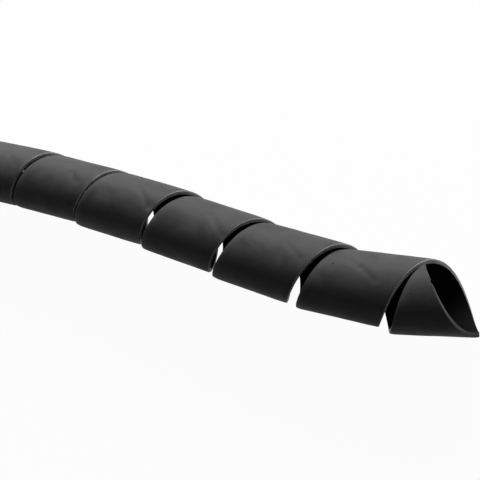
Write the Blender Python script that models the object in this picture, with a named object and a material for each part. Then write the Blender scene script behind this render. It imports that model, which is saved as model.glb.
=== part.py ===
"""Spiral cable wrap: one ribbon of black polyethylene wound into an open, left-handed tube.

The wrap lies on a level floor along X, its free end towards +X. Most of it is straight. Its last
turns bend to the right and then back to the left, which makes the gaps between them uneven. They
don't line up as on a rigid tube: some lean across the line that they lie on, and some stand wider.
Lengths are in metres and angles in degrees. A place along the wrap is the number of turns between
it and the pointed tip of the free end. A place across the ribbon runs from -1 at its left edge
to 1 at its right edge, the one nearer the free end.
"""

import math

import bmesh
import bpy
from mathutils import Vector

# The ribbon as it is made
OUTER_DIAMETER = 0.025
WALL = 0.0015
RIBBON_WIDTH = 0.0310  # measured along the tube
TURN_GAP = 0.0026  # between neighbouring turns where the tube is straight
LENGTH = 1.0  # measured along the middle of the tube, from tip to tip
CUT_ANGLE = 40.5  # between the scissor cut and the ribbon's own direction

# How the last turns lie, one value for each whole turn back from the tip, and 0 before those
TIP_ANGLE = 153.0  # where the tip stands around the tube, from its right side over the top
HEADINGS = (15.5, 5.0, -3.0, -5.0, -3.5, -2.0)  # which way the tube points, to the left of +X
LEANS = (2.0, 3.0, 0.5, 2.0, 1.5, 1.0, 0.5)  # how far a turn leans to the left of its path
SWELLS = (0.03, 0.0, 0.03, 0.03, 0.03, -0.01)  # how much wider a turn stands, as a share

# How finely the curves are divided
SEGMENTS = 36  # flats around one turn, one of them flat on the floor
PATH_STEPS = 360  # steps along one turn when the middle line is worked out

COLOUR = (0.020, 0.020, 0.021, 1.0)
ROUGHNESS = 0.5

# Length of tube to a turn, turns in the whole wrap, turns along a slanting cut, and the way from
# the middle of a flat out to the corner between two flats
PITCH = RIBBON_WIDTH + TURN_GAP
TURNS = LENGTH / PITCH
CUT_TURNS = RIBBON_WIDTH / math.tan(math.radians(CUT_ANGLE)) / (math.pi * OUTER_DIAMETER)
TO_CORNER = 1.0 / math.cos(math.pi / SEGMENTS)


def through(values, turns):
    """A smooth curve through one value for each whole turn, 0 beyond the last."""
    known = (values[0],) + values + (0.0, 0.0, 0.0)
    place = min(turns, len(values))
    whole = math.floor(place)
    f = place - whole
    a, b, c, d = known[whole : whole + 4]
    return b + 0.5 * f * (c - a + f * (2.0 * a - 5.0 * b + 4.0 * c - d + f * (3.0 * (b - c) + d - a)))


def heading(turns):
    """Direction of the tube on the floor, in radians to the left of +X."""
    return math.radians(through(HEADINGS, turns))


def path_direction(turns):
    """Direction in which the middle line runs on from turn to turn."""
    return heading(turns) - math.radians(through(LEANS, turns))


def outer_radius(turns):
    return OUTER_DIAMETER / 2 * (1.0 + through(SWELLS, turns))


def stations():
    """Places of the cross sections, from the free tip to the far tip."""
    corners = [0.0, CUT_TURNS, TURNS - CUT_TURNS, TURNS]
    floor_turn = (TIP_ANGLE + 90.0) / 360.0
    first = floor_turn % (1.0 / SEGMENTS) + 0.5 / SEGMENTS
    count = int((TURNS - first) * SEGMENTS) + 1
    flats = [first + i / SEGMENTS for i in range(count)]
    apart = 0.3 / SEGMENTS
    kept = [t for t in flats if all(abs(t - c) > apart for c in corners)]
    return sorted(corners + kept)


def middle_line(places):
    """Centre of the tube at each station, worked out from the tip back. Each turn rests on z = 0."""
    x = y = 0.0
    at = 0.0
    centres = []
    for place in places:
        steps = max(1, round((place - at) * PATH_STEPS))
        step = (place - at) / steps
        for i in range(steps):
            direction = path_direction(at + (i + 0.5) * step)
            x -= PITCH * step * math.cos(direction)
            y -= PITCH * step * math.sin(direction)
        at = place
        centres.append(Vector((x, y, outer_radius(place))))
    return centres


def edges_across(turns):
    """Left and right edge of the ribbon, narrowed by the slanting cut at either tip."""
    right = min(1.0, -1.0 + 2.0 * turns / CUT_TURNS)
    left = max(-1.0, 1.0 - 2.0 * (TURNS - turns) / CUT_TURNS)
    return left, right


def section(turns, centre):
    """Corners of one cross section: outer left, outer right, inner right, inner left."""
    turn = heading(turns)
    along = Vector((math.cos(turn), math.sin(turn), 0.0)) * (RIBBON_WIDTH / 2)
    to_right = Vector((math.sin(turn), -math.cos(turn), 0.0))
    around = math.radians(TIP_ANGLE) - 2.0 * math.pi * turns
    outward = math.cos(around) * to_right + math.sin(around) * Vector((0.0, 0.0, 1.0))
    outer = outer_radius(turns) * TO_CORNER
    inner = (outer_radius(turns) - WALL) * TO_CORNER
    left, right = edges_across(turns)
    corners = ((left, outer), (right, outer), (right, inner), (left, inner))
    return [centre + along * across + outward * radius for across, radius in corners]


def centred(rows):
    """The same sections with the middle of their footprint at the origin."""
    points = [p for row in rows for p in row]
    middle = Vector((0.0, 0.0, 0.0))
    for axis in (0, 1):
        middle[axis] = (min(p[axis] for p in points) + max(p[axis] for p in points)) / 2
    return [[p - middle for p in row] for row in rows]


def loft(rows):
    """Closed skin over the sections. The first and last section are the cut tips, without width."""
    bm = bmesh.new()
    rings = []
    for number, row in enumerate(rows):
        if number in (0, len(rows) - 1):
            outer = bm.verts.new(row[0])
            inner = bm.verts.new(row[3])
            rings.append([outer, outer, inner, inner])
        else:
            rings.append([bm.verts.new(p) for p in row])
    for ring, following in zip(rings, rings[1:]):
        for i in range(4):
            j = (i + 1) % 4
            corners = (ring[i], ring[j], following[j], following[i])
            bm.faces.new(list(dict.fromkeys(corners)))
    bmesh.ops.recalc_face_normals(bm, faces=bm.faces)
    return bm


def black_polyethylene():
    material = bpy.data.materials.new("black_polyethylene")
    material.use_nodes = True
    shader = material.node_tree.nodes["Principled BSDF"]
    shader.inputs["Base Color"].default_value = COLOUR
    shader.inputs["Roughness"].default_value = ROUGHNESS
    shader.inputs["Metallic"].default_value = 0.0
    return material


def spiral_wrap():
    places = stations()
    centres = middle_line(places)
    rows = centred([section(t, c) for t, c in zip(places, centres)])
    bm = loft(rows)
    mesh = bpy.data.meshes.new("spiral_wrap")
    bm.to_mesh(mesh)
    bm.free()
    mesh.shade_smooth()
    mesh.set_sharp_from_angle(angle=math.radians(40.0))
    mesh.materials.append(black_polyethylene())
    wrap = bpy.data.objects.new("spiral_wrap", mesh)
    bpy.context.scene.collection.objects.link(wrap)
    return wrap


def main():
    for old in list(bpy.data.objects):
        bpy.data.objects.remove(old)
    spiral_wrap()


main()
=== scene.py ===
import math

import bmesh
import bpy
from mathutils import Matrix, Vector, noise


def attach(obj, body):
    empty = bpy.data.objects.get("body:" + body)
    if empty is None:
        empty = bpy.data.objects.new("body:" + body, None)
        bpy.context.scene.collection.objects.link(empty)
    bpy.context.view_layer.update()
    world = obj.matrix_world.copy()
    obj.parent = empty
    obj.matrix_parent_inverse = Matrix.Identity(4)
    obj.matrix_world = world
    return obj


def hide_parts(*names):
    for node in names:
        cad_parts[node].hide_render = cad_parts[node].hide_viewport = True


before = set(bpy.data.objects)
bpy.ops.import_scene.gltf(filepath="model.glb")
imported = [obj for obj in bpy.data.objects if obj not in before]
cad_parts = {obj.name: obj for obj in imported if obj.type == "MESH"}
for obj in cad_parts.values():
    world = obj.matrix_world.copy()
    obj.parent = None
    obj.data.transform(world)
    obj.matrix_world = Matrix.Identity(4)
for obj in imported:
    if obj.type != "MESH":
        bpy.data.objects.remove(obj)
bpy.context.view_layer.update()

# The bore is coloured far blacker than the skin, as painted shade.
# The knife-cut edges are coloured paler than the cut alone makes them, as a painted highlight.
# The looks of a spiral cable wrap: one ribbon of black polyethylene, wound into an open,
# left-handed tube whose free end lies in a loose bend. The imported solid gives the ribbon's
# place. Here the ribbon gets its round surface, its knife-cut edges, the soft creases of
# handling, and a satin finish with draw lines, smears, pits and a rubbed right edge.
# Lengths are in metres and angles in degrees. A place along the wrap is the number of turns
# between it and the pointed tip of the free end. A place across the ribbon is a distance from
# its middle, and grows towards its right edge, the one nearer the free end.

# The ribbon as it is made, as in the solid
OUTER_DIAMETER = 0.025
WALL = 0.0015
RIBBON_WIDTH = 0.0310
TURN_GAP = 0.0026  # between neighbouring turns where the tube is straight
LENGTH = 1.0
CUT_ANGLE = 40.5  # between the scissor cut and the ribbon's own direction
PITCH = RIBBON_WIDTH + TURN_GAP
TURNS = LENGTH / PITCH
CUT_TURNS = RIBBON_WIDTH / math.tan(math.radians(CUT_ANGLE)) / (math.pi * OUTER_DIAMETER)

# How the last turns lie, one value for each whole turn back from the tip, as in the solid
TIP_ANGLE = 153.0  # where the tip stands around the tube, from its right side over the top
HEADINGS = (15.5, 5.0, -3.0, -5.0, -3.5, -2.0)  # which way the tube points, to the left of +X
LEANS = (2.0, 3.0, 0.5, 2.0, 1.5, 1.0, 0.5)  # how far a turn leans to the left of its path
SWELLS = (0.03, 0.0, 0.03, 0.03, 0.03, -0.01)  # how much wider a turn stands, as a share
PATH_STEPS = 360  # steps along one turn when the middle line is worked out

# How finely the surface is divided
LOOSE_TURNS = 7.5  # the turns at the free end, which are divided more finely
LOOSE_STATIONS = 108  # cross sections in one turn there
STRAIGHT_STATIONS = 36  # and in one turn of the straight stretch
FACE_POINTS = 40  # across the outer face
BORE_POINTS = 9  # across the inner face
RIGHT_STEPS = 4  # round the right edge's outer corner
ROUNDED_SKIN = 1  # how many of those belong to the skin, not to the cut
CORNER_STEPS = 2  # round the other corners
SHARP_ANGLE = 50.0  # where faces meet at more than this, the shading keeps a sharp line

# The cut edges
RIGHT_ROUNDING = 0.00045  # the knife leaves the right edge's outer corner soft
LEFT_ROUNDING = 0.00025
SNIPPED_ROUNDING = 0.00012  # the scissors leave a sharper corner
INNER_ROUNDING = 0.00010
ROUNDING_ROOM = 0.45  # the most that one rounding takes of a narrow tip, as a share of its width
TIP_WIDTH = 0.0004  # the scissors leave the tips this blunt

# What the hand and the scissors leave. None of it stands out from the solid's round surface.
WAVE_DEPTH = 0.00012  # slow waves in the surface
WAVE_LENGTH = 0.010
WAVE_GAIN = 1.3  # how strong the waves are before they are held to their depth
RIPPLE_SHARE = 0.5  # how strong the ripple on the waves is, beside them
RIPPLE_TIMES = 2.3  # how many times finer it is
LEFT_CURL = 0.00032  # how far the left edge curls in
LEFT_CURL_REACH = 0.0030  # how far from the edge the curl begins
RIGHT_CURL = 0.00010
RIGHT_CURL_REACH = 0.0060
CREASE_WIDTH = 0.0009
CREASE_NEAR = 0.1  # turns before and after a crease, beyond which it isn't worked out
CREASES = (  # from a place and across, to a place and across, and how deep
    (1.046, -0.0112, 1.100, -0.0005, 0.00018),
    (1.100, -0.0005, 1.150, 0.0075, 0.00021),
    (2.070, 0.0020, 2.130, 0.0118, 0.00021),
    (3.062, 0.0025, 3.150, 0.0145, 0.00027),
    (4.055, 0.0025, 4.148, 0.0142, 0.00030),
    (4.046, 0.0092, 4.148, 0.0142, 0.00018),
    (5.085, 0.0045, 5.135, 0.0108, 0.00021),
    (6.060, 0.0030, 6.130, 0.0120, 0.00018),
)
EDGE_SHIFT_REACH = 0.3  # turns over which a shift below dies away, to either side of its place
RIGHT_SHIFTS = (  # a place, and how far the edge stands there to the right of the solid's
    (1.42, 0.0009),
    (2.38, 0.0006),
    (3.40, 0.0005),
    (4.25, 0.0005),
    (4.42, 0.0008),
    (4.60, -0.0010),
    (5.13, 0.0011),
    (5.40, 0.0005),
    (5.60, 0.0009),
    (6.10, 0.0012),
    (6.38, 0.0010),
    (6.60, 0.0008),
)
LEFT_SHIFTS = (  # the same for the left edge
    (1.60, 0.0010),
    (2.40, -0.0005),
    (2.60, 0.0006),
    (3.60, 0.0007),
    (4.60, -0.0006),
    (5.60, -0.0009),
)
TIP_TUCK = 0.0005  # how much closer the tip lies to the turn behind it
TIP_TUCK_TURNS = (0.03, 0.28)  # where it starts to come away from that turn, and where it has
SNIPS = ((0.042, 0.00025), (0.100, 0.00065))  # nicks where the scissors were moved on, and depths
SNIP_TURNS = 0.030  # how long a nick is

# The colours of the plastic, unworn and worn, with a painted highlight on the knife cuts and painted
# shade in the bore
SKIN_BLACK = (0.018, 0.018, 0.0185)
RUBBED_BLACK = (0.075, 0.075, 0.077)
# The knife cuts' colours: partly the cut's own paler tone, partly a painted highlight on the edge
CUT_TONE_AND_SHEEN_DARK = (0.140, 0.140, 0.143)
CUT_TONE_AND_SHEEN_PALE = (0.250, 0.250, 0.256)
SNIPPED_BLACK = (0.020, 0.020, 0.0205)
SNIPPED_PALE = (0.042, 0.042, 0.043)
# The bore's colours: far blacker than the skin's, as painted shade inside the tube
BORE_PAINTED_SHADE_DARK = (0.0015, 0.0015, 0.0015)
BORE_PAINTED_SHADE_PALE = (0.0045, 0.0045, 0.0045)
EVEN_WEAR = 0.11  # how far the plain skin has gone from the first of its colours to the second

# How rough the plastic is, and how much rougher where it is marked
SKIN_ROUGHNESS = 0.52
CUT_ROUGHNESS = 0.40
BORE_ROUGHNESS = 0.62
SMEAR_ROUGHNESS = 0.12
LINE_ROUGHNESS = 0.08
PIT_ROUGHNESS = 0.2

# How deep its relief is, and its shine, which is the shader's specular level
SKIN_RELIEF = 0.00004
CUT_RELIEF = 0.00006
BORE_RELIEF = 0.00005
SKIN_SHINE = 0.06
CUT_SHINE = 0.12
BORE_SHINE = 0.015

# How the marks are shaped
NOISE_MIDDLE = 0.5  # the middle of a noise that runs from 0 to 1
PIT_FLOOR = 0.4  # how wide the flat bottom of a pit is, as a share of the pit
RUB_PATCHES = (0.35, 0.65)  # the noise at which a rubbed patch begins, and where it is full
LEAST_RUBBED = 0.25  # what is left of the rubbing between the patches

# The studio
PLAIN_WHITE = (1.0, 1.0, 1.0)
WHITE_SHARE = 0.965  # of the floor's white that is there without any lamp
FLOOR_COLOUR = (0.8, 0.8, 0.8)
WORLD_LIGHT = 0.03
FLOOR_REACH = 12.0
FLOOR_DROP = 0.0001  # how far it lies under the lowest lines of the wrap
LAMPS_AIM = (0.4, 0.0, 0.0)  # in the middle of the turns that the photo shows
LAMPS = (  # name, place, sides and watts
    ("low_lamp", (-0.25, 1.15, 0.16), (1.4, 0.25), 18.0),
    ("flank_lamp", (0.15, 1.20, 0.45), (1.2, 0.5), 31.0),
    ("end_lamp", (1.36, 0.80, 1.00), (0.8, 0.6), 3.0),
)

# Where the camera stands
VIEW_TURNS = 3.4  # the place on the wrap that the distances below are measured from
VIEW_DISTANCE = 16.285 * OUTER_DIAMETER
VIEW_RIGHT = 0.7684 * OUTER_DIAMETER
VIEW_UP = -0.1735 * OUTER_DIAMETER
VIEW_YAW = -88.1  # from +Y towards +X
VIEW_PITCH = 59.61  # downwards
VIEW_ROLL = -74.79  # anticlockwise
SENSOR = 36.0  # in millimetres, as the lens
LENS = 82.39
NEAREST_SEEN = 0.01
FURTHEST_SEEN = 50.0

# The finishes of the ribbon's faces, as places in its list of materials
OUTER_SKIN, CUT_EDGE, INNER_SKIN, SNIPPED_EDGE = 0, 1, 2, 3


def through(values, turns):
    """A smooth curve through one value for each whole turn, 0 beyond the last."""
    known = (values[0],) + values + (0.0, 0.0, 0.0)
    place = min(turns, len(values))
    whole = math.floor(place)
    f = place - whole
    a, b, c, d = known[whole : whole + 4]
    square = 2.0 * a - 5.0 * b + 4.0 * c - d
    cube = 3.0 * (b - c) + d - a
    return b + 0.5 * f * (c - a + f * (square + f * cube))


def heading(turns):
    """Direction of the tube on the floor, in radians to the left of +X."""
    return math.radians(through(HEADINGS, turns))


def path_direction(turns):
    """Direction in which the middle line runs on from turn to turn."""
    return heading(turns) - math.radians(through(LEANS, turns))


def outer_radius(turns):
    """From the middle of the tube to its outside."""
    return OUTER_DIAMETER / 2 * (1.0 + through(SWELLS, turns))


def middle_line(places):
    """Centre of the tube at each place, worked out from the tip back. Each turn rests on z = 0."""
    x = y = 0.0
    at = 0.0
    centres = []
    for place in places:
        steps = max(1, round((place - at) * PATH_STEPS))
        step = (place - at) / steps
        for i in range(steps):
            direction = path_direction(at + (i + 0.5) * step)
            x -= PITCH * step * math.cos(direction)
            y -= PITCH * step * math.sin(direction)
        at = place
        centres.append(Vector((x, y, outer_radius(place))))
    return centres


def directions(turns):
    """Along the tube, and outward through the middle of the ribbon."""
    turn = heading(turns)
    along = Vector((math.cos(turn), math.sin(turn), 0.0))
    to_right = Vector((math.sin(turn), -math.cos(turn), 0.0))
    around = math.radians(TIP_ANGLE) - 2.0 * math.pi * turns
    outward = math.cos(around) * to_right + math.sin(around) * Vector((0.0, 0.0, 1.0))
    return along, outward


def edges_across(turns):
    """Left and right edge, narrowed by the slanting cut at either tip."""
    half = RIBBON_WIDTH / 2
    right = min(half, -half + RIBBON_WIDTH * turns / CUT_TURNS)
    left = max(-half, half - RIBBON_WIDTH * (TURNS - turns) / CUT_TURNS)
    return left, right


def eased(value, low, high):
    """From 0 at low to 1 at high, smoothly."""
    share = min(1.0, max(0.0, (value - low) / (high - low)))
    return share * share * (3.0 - 2.0 * share)


def shifted(turns, shifts):
    """How far an edge stands to the right of its place in the solid."""
    total = 0.0
    for place, most in shifts:
        total += most * (1.0 - eased(abs(turns - place), 0.0, EDGE_SHIFT_REACH))
    return total


def shown_edges(turns):
    """The edges with their small departures from the solid's."""
    left, right = edges_across(turns)
    right += shifted(turns, RIGHT_SHIFTS)
    left += shifted(turns, LEFT_SHIFTS)
    left -= TIP_TUCK * (1.0 - eased(turns, *TIP_TUCK_TURNS))
    for place, depth in SNIPS:
        if 0.0 <= turns - place < SNIP_TURNS:
            right -= depth * (1.0 - (turns - place) / SNIP_TURNS)
    return left, right


def even_steps(start, end, per_turn):
    """Places from the start on, so many to a turn. The end itself is left out."""
    count = round((end - start) * per_turn)
    return [start + (end - start) * i / count for i in range(count)]


def stations():
    """Places of the cross sections, from the free tip to the far tip."""
    blunt = TIP_WIDTH / RIBBON_WIDTH * CUT_TURNS
    loose = even_steps(blunt, LOOSE_TURNS, LOOSE_STATIONS)
    return loose + even_steps(LOOSE_TURNS, TURNS - blunt, STRAIGHT_STATIONS) + [TURNS - blunt]


def footprint_middle():
    """Middle of the floor that the wrap covers, where the solid has its origin."""
    places = [0.0] + stations() + [TURNS]
    points = []
    for turns, centre in zip(places, middle_line(places)):
        along, outward = directions(turns)
        for across in edges_across(turns):
            points.append(centre + along * across + outward * outer_radius(turns))
    x = [p.x for p in points]
    y = [p.y for p in points]
    return Vector(((min(x) + max(x)) / 2, (min(y) + max(y)) / 2, 0.0))


def corner(across, depth, radius, start, steps):
    """Points of a rounded corner round a centre, a quarter turn on from the start angle."""
    points = []
    for i in range(steps + 1):
        a = math.radians(start + 90.0 * i / steps)
        points.append((across + radius * math.sin(a), depth - radius * math.cos(a)))
    return points


def spread(start, end, count):
    """So many values from start to end, both of them included."""
    return [start + (end - start) * i / (count - 1) for i in range(count)]


def outline(turns):
    """The cross section as points (across, depth), and the finish of the face after each point."""
    left, right = shown_edges(turns)
    room = ROUNDING_ROOM * (right - left)
    at_free_end = turns < CUT_TURNS
    at_far_end = turns > TURNS - CUT_TURNS
    right_round = min(SNIPPED_ROUNDING if at_free_end else RIGHT_ROUNDING, room)
    left_round = min(SNIPPED_ROUNDING if at_far_end else LEFT_ROUNDING, room)
    bore_round = min(INNER_ROUNDING, room)
    bore_depth = WALL - bore_round
    face = spread(left + left_round, right - right_round, FACE_POINTS)
    bore = spread(right - bore_round, left + bore_round, BORE_POINTS)
    right_side = corner(right - right_round, right_round, right_round, 0.0, RIGHT_STEPS)[1:]
    right_side += corner(right - bore_round, bore_depth, bore_round, 90.0, CORNER_STEPS)[:-1]
    left_side = corner(left + bore_round, bore_depth, bore_round, 180.0, CORNER_STEPS)[1:]
    left_side += corner(left + left_round, left_round, left_round, 270.0, CORNER_STEPS)[:-1]
    points = [(across, 0.0) for across in face] + right_side
    points += [(across, WALL) for across in bore] + left_side
    right_finish = SNIPPED_EDGE if at_free_end else CUT_EDGE
    left_finish = SNIPPED_EDGE if at_far_end else CUT_EDGE
    finish = [OUTER_SKIN] * (FACE_POINTS + ROUNDED_SKIN - 1)
    finish += [right_finish] * (len(right_side) + 1 - ROUNDED_SKIN)
    finish += [INNER_SKIN] * (BORE_POINTS - 1) + [left_finish] * (CORNER_STEPS + 1)
    finish += [OUTER_SKIN] * CORNER_STEPS
    return points, finish


def wave(point):
    """How far the ribbon's surface lies under the true round, from 0 to WAVE_DEPTH."""
    place = point / WAVE_LENGTH
    swing = noise.noise(place) + RIPPLE_SHARE * noise.noise(place * RIPPLE_TIMES)
    return WAVE_DEPTH * (0.5 + 0.5 * max(-1.0, min(1.0, swing * WAVE_GAIN)))


def curl(across):
    """How far the ribbon's long edges curl in."""
    half = RIBBON_WIDTH / 2
    left = max(0.0, 1.0 - (half + across) / LEFT_CURL_REACH)
    right = max(0.0, 1.0 - (half - across) / RIGHT_CURL_REACH)
    return LEFT_CURL * min(1.0, left) ** 2 + RIGHT_CURL * min(1.0, right) ** 2


def creases(turns, across):
    """How deep the creases are at a place."""
    depth = 0.0
    around = math.pi * OUTER_DIAMETER
    spot = Vector((turns * around, across))
    for start, start_across, end, end_across, deepest in CREASES:
        if start - CREASE_NEAR < turns < end + CREASE_NEAR:
            first = Vector((start * around, start_across))
            way = Vector((end * around, end_across)) - first
            share = min(1.0, max(0.0, (spot - first).dot(way) / way.length_squared))
            off = (spot - first - way * share).length / CREASE_WIDTH
            depth += deepest * math.exp(-off * off)
    return depth


def ring_of_points(turns, centre):
    """One cross section in space, and the same points on the map of the ribbon."""
    along, outward = directions(turns)
    points, finish = outline(turns)
    ring = []
    for across, depth in points:
        skin = centre + along * across + outward * outer_radius(turns)
        sunk = wave(skin) + curl(across) + creases(turns, across)
        ring.append(skin - outward * (depth + sunk))
    on_map = [(turns, across + depth) for across, depth in points]
    return ring, on_map, finish


def add_face(bm, layer, corners, spots, finish):
    """A smooth face with its finish and the places of its corners on the map."""
    face = bm.faces.new(corners)
    face.material_index = finish
    face.smooth = True
    for loop, spot in zip(face.loops, spots):
        loop[layer].uv = spot


def ribbon_mesh():
    """The ribbon's fine surface, with a map of turns along it and metres across it."""
    places = stations()
    centres = middle_line(places)
    middle = footprint_middle()
    bm = bmesh.new()
    layer = bm.loops.layers.uv.new("ribbon")
    rings = []
    maps = []
    finishes = []
    for turns, centre in zip(places, centres):
        points, on_map, finish = ring_of_points(turns, centre - middle)
        rings.append([bm.verts.new(p) for p in points])
        maps.append(on_map)
        finishes.append(finish)
    count = len(rings[0])
    for k in range(len(rings) - 1):
        for i in range(count):
            j = (i + 1) % count
            corners = (rings[k][i], rings[k][j], rings[k + 1][j], rings[k + 1][i])
            spots = (maps[k][i], maps[k][j], maps[k + 1][j], maps[k + 1][i])
            add_face(bm, layer, corners, spots, finishes[k][i])
    for tip in (0, -1):
        add_face(bm, layer, rings[tip], maps[tip], SNIPPED_EDGE)
    bmesh.ops.recalc_face_normals(bm, faces=bm.faces)
    mesh = bpy.data.meshes.new("ribbon")
    bm.to_mesh(mesh)
    bm.free()
    mesh.set_sharp_from_angle(angle=math.radians(SHARP_ANGLE))
    return mesh


def node(tree, kind, inputs, **settings):
    """A new node with its settings. Each input gets a value or another node's output."""
    made = tree.nodes.new("ShaderNode" + kind)
    for name, value in settings.items():
        setattr(made, name, value)
    for name, value in inputs.items():
        if isinstance(value, bpy.types.NodeSocket):
            tree.links.new(value, made.inputs[name])
        else:
            made.inputs[name].default_value = value
    return made


def calc(tree, operation, *values):
    """The result of one sum on values or outputs."""
    return node(tree, "Math", dict(enumerate(values)), operation=operation).outputs[0]


def ramp(tree, value, low, high, start=0.0, end=1.0):
    """A value brought smoothly from one range to another and held at its ends."""
    inputs = {"Value": value, "From Min": low, "From Max": high, "To Min": start, "To Max": end}
    return node(tree, "MapRange", inputs, interpolation_type="SMOOTHSTEP").outputs["Result"]


def effect(name, takes, gives):
    """An empty effect group, with its inputs and their usual values, and its outputs."""
    tree = bpy.data.node_groups.new(name, "ShaderNodeTree")
    for label, value in takes.items():
        socket = tree.interface.new_socket(label, in_out="INPUT", socket_type="NodeSocketFloat")
        socket.default_value = value
    for label in gives:
        tree.interface.new_socket(label, in_out="OUTPUT", socket_type="NodeSocketFloat")
    start = tree.nodes.new("NodeGroupInput")
    end = tree.nodes.new("NodeGroupOutput")
    return tree, start.outputs, end.inputs


def use(tree, group, **values):
    """An effect placed in a material, with its own values."""
    made = tree.nodes.new("ShaderNodeGroup")
    made.node_tree = group
    for name, value in values.items():
        made.inputs[name].default_value = value
    return made.outputs


def draw_lines_effect():
    """Fine lines along the tube, left by the die. They run on from turn to turn."""
    tree, takes, gives = effect("draw lines", {"Spacing": 0.0006, "Run": 0.03}, ("Height",))
    spot = node(tree, "UVMap", {}, uv_map="ribbon").outputs["UV"]
    parts = node(tree, "SeparateXYZ", {0: spot}).outputs
    angle = calc(tree, "MULTIPLY", parts["X"], 2.0 * math.pi)
    spacing = calc(tree, "DIVIDE", OUTER_DIAMETER / 2, takes["Spacing"])
    x = calc(tree, "MULTIPLY", calc(tree, "COSINE", angle), spacing)
    y = calc(tree, "MULTIPLY", calc(tree, "SINE", angle), spacing)
    along = calc(tree, "SUBTRACT", parts["Y"], calc(tree, "MULTIPLY", parts["X"], PITCH))
    z = calc(tree, "DIVIDE", along, takes["Run"])
    place = node(tree, "CombineXYZ", {0: x, 1: y, 2: z}).outputs[0]
    lines = node(tree, "TexNoise", {"Vector": place, "Scale": 1.0, "Detail": 2.0, "Roughness": 0.6})
    tree.links.new(lines.outputs[0], gives["Height"])
    return tree


def noise_over(tree, size, detail, distortion=0.0):
    """Noise over the object, in patches of about the given size."""
    place = node(tree, "TexCoord", {}).outputs["Object"]
    inputs = {"Vector": place, "Scale": calc(tree, "DIVIDE", 1.0, size), "Detail": detail}
    inputs["Distortion"] = distortion
    return node(tree, "TexNoise", inputs).outputs[0]


def smears_effect():
    """Soft patches where handling has left the satin a little duller."""
    tree, takes, gives = effect("smears", {"Size": 0.009, "Edge": 0.12}, ("Mask",))
    patches = noise_over(tree, takes["Size"], detail=3.0, distortion=0.8)
    low = calc(tree, "SUBTRACT", NOISE_MIDDLE, takes["Edge"])
    high = calc(tree, "ADD", NOISE_MIDDLE, takes["Edge"])
    tree.links.new(ramp(tree, patches, low, high), gives["Mask"])
    return tree


def pits_effect():
    """Sparse little pits. Some of the cells of a loose pattern have one."""
    takes = {"Spacing": 0.003, "Width": 0.00025, "Share": 0.25}
    tree, takes, gives = effect("pits", takes, ("Mask",))
    place = node(tree, "TexCoord", {}).outputs["Object"]
    scale = calc(tree, "DIVIDE", 1.0, takes["Spacing"])
    cells = node(tree, "TexVoronoi", {"Vector": place, "Scale": scale})
    width = calc(tree, "DIVIDE", takes["Width"], takes["Spacing"])
    bottom = calc(tree, "MULTIPLY", width, PIT_FLOOR)
    dot = ramp(tree, cells.outputs["Distance"], bottom, width, start=1.0, end=0.0)
    chance = node(tree, "SeparateXYZ", {0: cells.outputs["Color"]}).outputs[0]
    kept = calc(tree, "LESS_THAN", chance, takes["Share"])
    tree.links.new(calc(tree, "MULTIPLY", dot, kept), gives["Mask"])
    return tree


def rubbed_edge_effect():
    """Wear along the ribbon's right edge, the one that stands proud, uneven along it."""
    tree, takes, gives = effect("rubbed edge", {"Width": 0.0008, "Size": 0.004}, ("Mask",))
    spot = node(tree, "UVMap", {}, uv_map="ribbon").outputs["UV"]
    across = node(tree, "SeparateXYZ", {0: spot}).outputs["Y"]
    inside = calc(tree, "SUBTRACT", RIBBON_WIDTH / 2, across)
    near = ramp(tree, inside, 0.0, takes["Width"], start=1.0, end=0.0)
    unevenness = noise_over(tree, takes["Size"], detail=3.0)
    patches = ramp(tree, unevenness, *RUB_PATCHES, start=LEAST_RUBBED, end=1.0)
    tree.links.new(calc(tree, "MULTIPLY", near, patches), gives["Mask"])
    return tree


def grain_effect():
    """The faint grain of the extruded surface."""
    tree, takes, gives = effect("grain", {"Size": 0.00025}, ("Height",))
    tree.links.new(noise_over(tree, takes["Size"], detail=2.0), gives["Height"])
    return tree


def blend(tree, share, first, second):
    """A colour between two, by a share that changes over the surface."""
    inputs = {0: share, 6: (*first, 1.0), 7: (*second, 1.0)}  # 6 and 7 are its two colours
    return node(tree, "Mix", inputs, data_type="RGBA").outputs[2]


def weighted(tree, *pairs):
    """The sum of some outputs, each with its weight."""
    total = 0.0
    for value, weight in pairs:
        total = calc(tree, "MULTIPLY_ADD", value, weight, total)
    return total


def plastic(material, colour, roughness, height, relief, shine):
    """The material with its shader. Its shine and the depth of its relief are fixed values."""
    tree = material.node_tree
    bump = node(tree, "Bump", {"Height": height, "Distance": relief, "Strength": 1.0})
    inputs = {"Base Color": colour, "Roughness": roughness, "Normal": bump.outputs[0]}
    inputs["Specular IOR Level"] = shine
    shader = node(tree, "BsdfPrincipled", inputs)
    node(tree, "OutputMaterial", {"Surface": shader.outputs[0]})
    return material


def new_material(name):
    """A material that has no nodes yet."""
    material = bpy.data.materials.new(name)
    material.use_nodes = True
    material.node_tree.nodes.clear()
    return material


def satin_skin(effects):
    """The outer face: satin black with draw lines, smears, pits and a rubbed right edge."""
    material = new_material("satin_skin")
    tree = material.node_tree
    lines = use(tree, effects["draw lines"], Spacing=0.0007, Run=0.040)["Height"]
    smears = use(tree, effects["smears"], Size=0.010, Edge=0.16)["Mask"]
    pits = use(tree, effects["pits"], Spacing=0.0050, Width=0.00050, Share=0.15)["Mask"]
    rubbed = use(tree, effects["rubbed edge"], Width=0.0009, Size=0.004)["Mask"]
    grain = use(tree, effects["grain"], Size=0.00022)["Height"]
    worn = weighted(tree, (rubbed, 0.25), (smears, 0.22), (lines, 0.14), (pits, -0.5))
    colour = blend(tree, calc(tree, "ADD", worn, EVEN_WEAR), SKIN_BLACK, RUBBED_BLACK)
    rougher = weighted(tree, (smears, SMEAR_ROUGHNESS), (lines, LINE_ROUGHNESS), (pits, PIT_ROUGHNESS))
    roughness = calc(tree, "ADD", rougher, SKIN_ROUGHNESS)
    height = weighted(tree, (lines, 0.6), (grain, 0.25), (pits, -1.0))
    return plastic(material, colour, roughness, height, SKIN_RELIEF, SKIN_SHINE)


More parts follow.
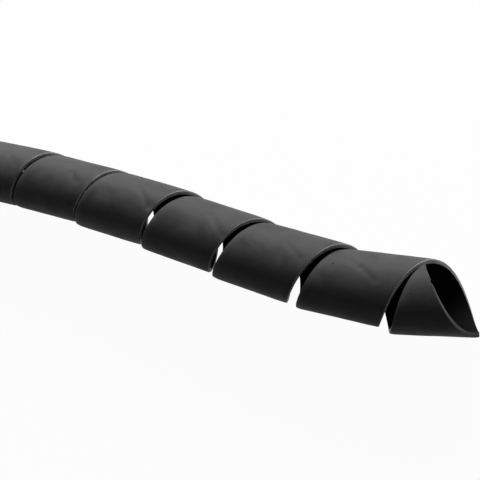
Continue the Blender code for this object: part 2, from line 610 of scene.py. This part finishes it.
def cut_plastic(effects, name, dark, pale):
    """A cut face with fine marks, paler where the ribbon's right edge is rubbed."""
    material = new_material(name)
    tree = material.node_tree
    smears = use(tree, effects["smears"], Size=0.004, Edge=0.2)["Mask"]
    rubbed = use(tree, effects["rubbed edge"], Width=0.0006, Size=0.003)["Mask"]
    grain = use(tree, effects["grain"], Size=0.00035)["Height"]
    paler = weighted(tree, (smears, 0.45), (rubbed, 0.35), (grain, 0.2))
    colour = blend(tree, paler, dark, pale)
    roughness = calc(tree, "MULTIPLY_ADD", smears, SMEAR_ROUGHNESS, CUT_ROUGHNESS)
    return plastic(material, colour, roughness, grain, CUT_RELIEF, CUT_SHINE)


def knife_cut_painted_sheen(effects):
    """The long edges, paler than the skin: partly the cut's own paler tone, partly a painted
    highlight.
    """
    return cut_plastic(effects, "knife_cut_painted_sheen", CUT_TONE_AND_SHEEN_DARK, CUT_TONE_AND_SHEEN_PALE)


def snipped(effects):
    """The slanting ends, freshly cut with scissors."""
    return cut_plastic(effects, "snipped", SNIPPED_BLACK, SNIPPED_PALE)


def bore_painted_shade(effects):
    """The inner face: duller, and coloured blacker than the skin as painted shade inside the tube,
    with the same draw lines.
    """
    material = new_material("bore_painted_shade")
    tree = material.node_tree
    lines = use(tree, effects["draw lines"], Spacing=0.0010, Run=0.050)["Height"]
    smears = use(tree, effects["smears"], Size=0.007, Edge=0.2)["Mask"]
    pits = use(tree, effects["pits"], Spacing=0.0030, Width=0.0003, Share=0.3)["Mask"]
    grain = use(tree, effects["grain"], Size=0.0003)["Height"]
    pale = weighted(tree, (smears, 0.5), (lines, 0.5), (pits, 0.3))
    colour = blend(tree, pale, BORE_PAINTED_SHADE_DARK, BORE_PAINTED_SHADE_PALE)
    roughness = calc(tree, "MULTIPLY_ADD", smears, SMEAR_ROUGHNESS, BORE_ROUGHNESS)
    height = weighted(tree, (lines, 0.7), (grain, 0.3), (pits, -0.8))
    return plastic(material, colour, roughness, height, BORE_RELIEF, BORE_SHINE)


def effect_groups():
    """Every effect, built once and found by its name."""
    makers = (draw_lines_effect, smears_effect, pits_effect, rubbed_edge_effect, grain_effect)
    groups = [make() for make in makers]
    return {group.name: group for group in groups}


def ribbon():
    """The wrap's one piece, which stands in for the plain solid."""
    mesh = ribbon_mesh()
    effects = effect_groups()
    for make in (satin_skin, knife_cut_painted_sheen, bore_painted_shade, snipped):
        mesh.materials.append(make(effects))
    piece = bpy.data.objects.new("ribbon", mesh)
    bpy.context.scene.collection.objects.link(piece)
    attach(piece, "root")
    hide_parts("spiral_wrap")


def shows_white(tree, share):
    """The share of plain white for the rays that show the background, and 0 for the others."""
    rays = node(tree, "LightPath", {}).outputs
    either = calc(tree, "MAXIMUM", rays["Is Glossy Ray"], rays["Is Transmission Ray"])
    seen = calc(tree, "MAXIMUM", rays["Is Camera Ray"], either)
    return calc(tree, "MULTIPLY", seen, share)


def mixed(tree, share, first, second):
    """Two shaders, mixed by the share of the second."""
    inputs = {0: share, 1: first.outputs[0], 2: second.outputs[0]}
    return node(tree, "MixShader", inputs).outputs[0]


def floor():
    """A plain pale floor under the wrap and far around it."""
    mesh = bpy.data.meshes.new("floor")
    sides = ((-1, -1), (1, -1), (1, 1), (-1, 1))
    corners = [(x * FLOOR_REACH, y * FLOOR_REACH, -FLOOR_DROP) for x, y in sides]
    mesh.from_pydata(corners, [], [(0, 1, 2, 3)])
    material = new_material("pale_floor")
    tree = material.node_tree
    matt = node(tree, "BsdfDiffuse", {"Color": (*FLOOR_COLOUR, 1.0)})
    white = node(tree, "Emission", {"Color": (*PLAIN_WHITE, 1.0), "Strength": 1.0})
    both = mixed(tree, shows_white(tree, WHITE_SHARE), matt, white)
    node(tree, "OutputMaterial", {"Surface": both})
    mesh.materials.append(material)
    piece = bpy.data.objects.new("floor", mesh)
    bpy.context.scene.collection.objects.link(piece)


def studio_air():
    """The world: a little light from all round, and white where it is seen."""
    world = bpy.data.worlds.new("studio_air")
    bpy.context.scene.world = world
    world.use_nodes = True
    tree = world.node_tree
    tree.nodes.clear()
    dim = node(tree, "Background", {"Strength": WORLD_LIGHT})
    white = node(tree, "Background", {"Color": (*PLAIN_WHITE, 1.0), "Strength": 1.0})
    both = mixed(tree, shows_white(tree, 1.0), dim, white)
    node(tree, "OutputWorld", {"Surface": both})


def softbox(name, place, sides, power):
    """A soft lamp aimed at the free end's turns. The camera doesn't see it."""
    data = bpy.data.lights.new(name, "AREA")
    data.shape = "RECTANGLE"
    data.size, data.size_y = sides
    data.energy = power
    lamp = bpy.data.objects.new(name, data)
    lamp.location = place
    aim = Vector(LAMPS_AIM) - Vector(place)
    lamp.rotation_euler = aim.to_track_quat("-Z", "Y").to_euler()
    lamp.visible_camera = False
    bpy.context.scene.collection.objects.link(lamp)


def camera():
    """The photo's point of view, measured from a place on the wrap."""
    spot = middle_line([VIEW_TURNS])[0] - footprint_middle()
    target = Vector((spot.x, spot.y, OUTER_DIAMETER / 2))
    yaw, pitch, roll = (math.radians(v) for v in (VIEW_YAW, VIEW_PITCH, VIEW_ROLL))
    ahead = math.cos(pitch)
    forward = Vector((math.sin(yaw) * ahead, math.cos(yaw) * ahead, -math.sin(pitch)))
    level = Vector((math.cos(yaw), -math.sin(yaw), 0.0))
    upright = level.cross(forward)
    right = math.cos(roll) * level + math.sin(roll) * upright
    up = -math.sin(roll) * level + math.cos(roll) * upright
    data = bpy.data.cameras.new("camera")
    data.sensor_width = SENSOR
    data.lens = LENS
    data.clip_start = NEAREST_SEEN
    data.clip_end = FURTHEST_SEEN
    viewer = bpy.data.objects.new("camera", data)
    bpy.context.scene.collection.objects.link(viewer)
    place = target - VIEW_DISTANCE * forward + VIEW_RIGHT * right + VIEW_UP * up
    turn = Matrix((right, up, -forward)).transposed().to_4x4()
    viewer.matrix_world = Matrix.Translation(place) @ turn
    bpy.context.scene.camera = viewer


ribbon()
floor()
studio_air()
camera()
for lamp in LAMPS:
    softbox(*lamp)
bpy.context.scene.view_settings.view_transform = "Standard"
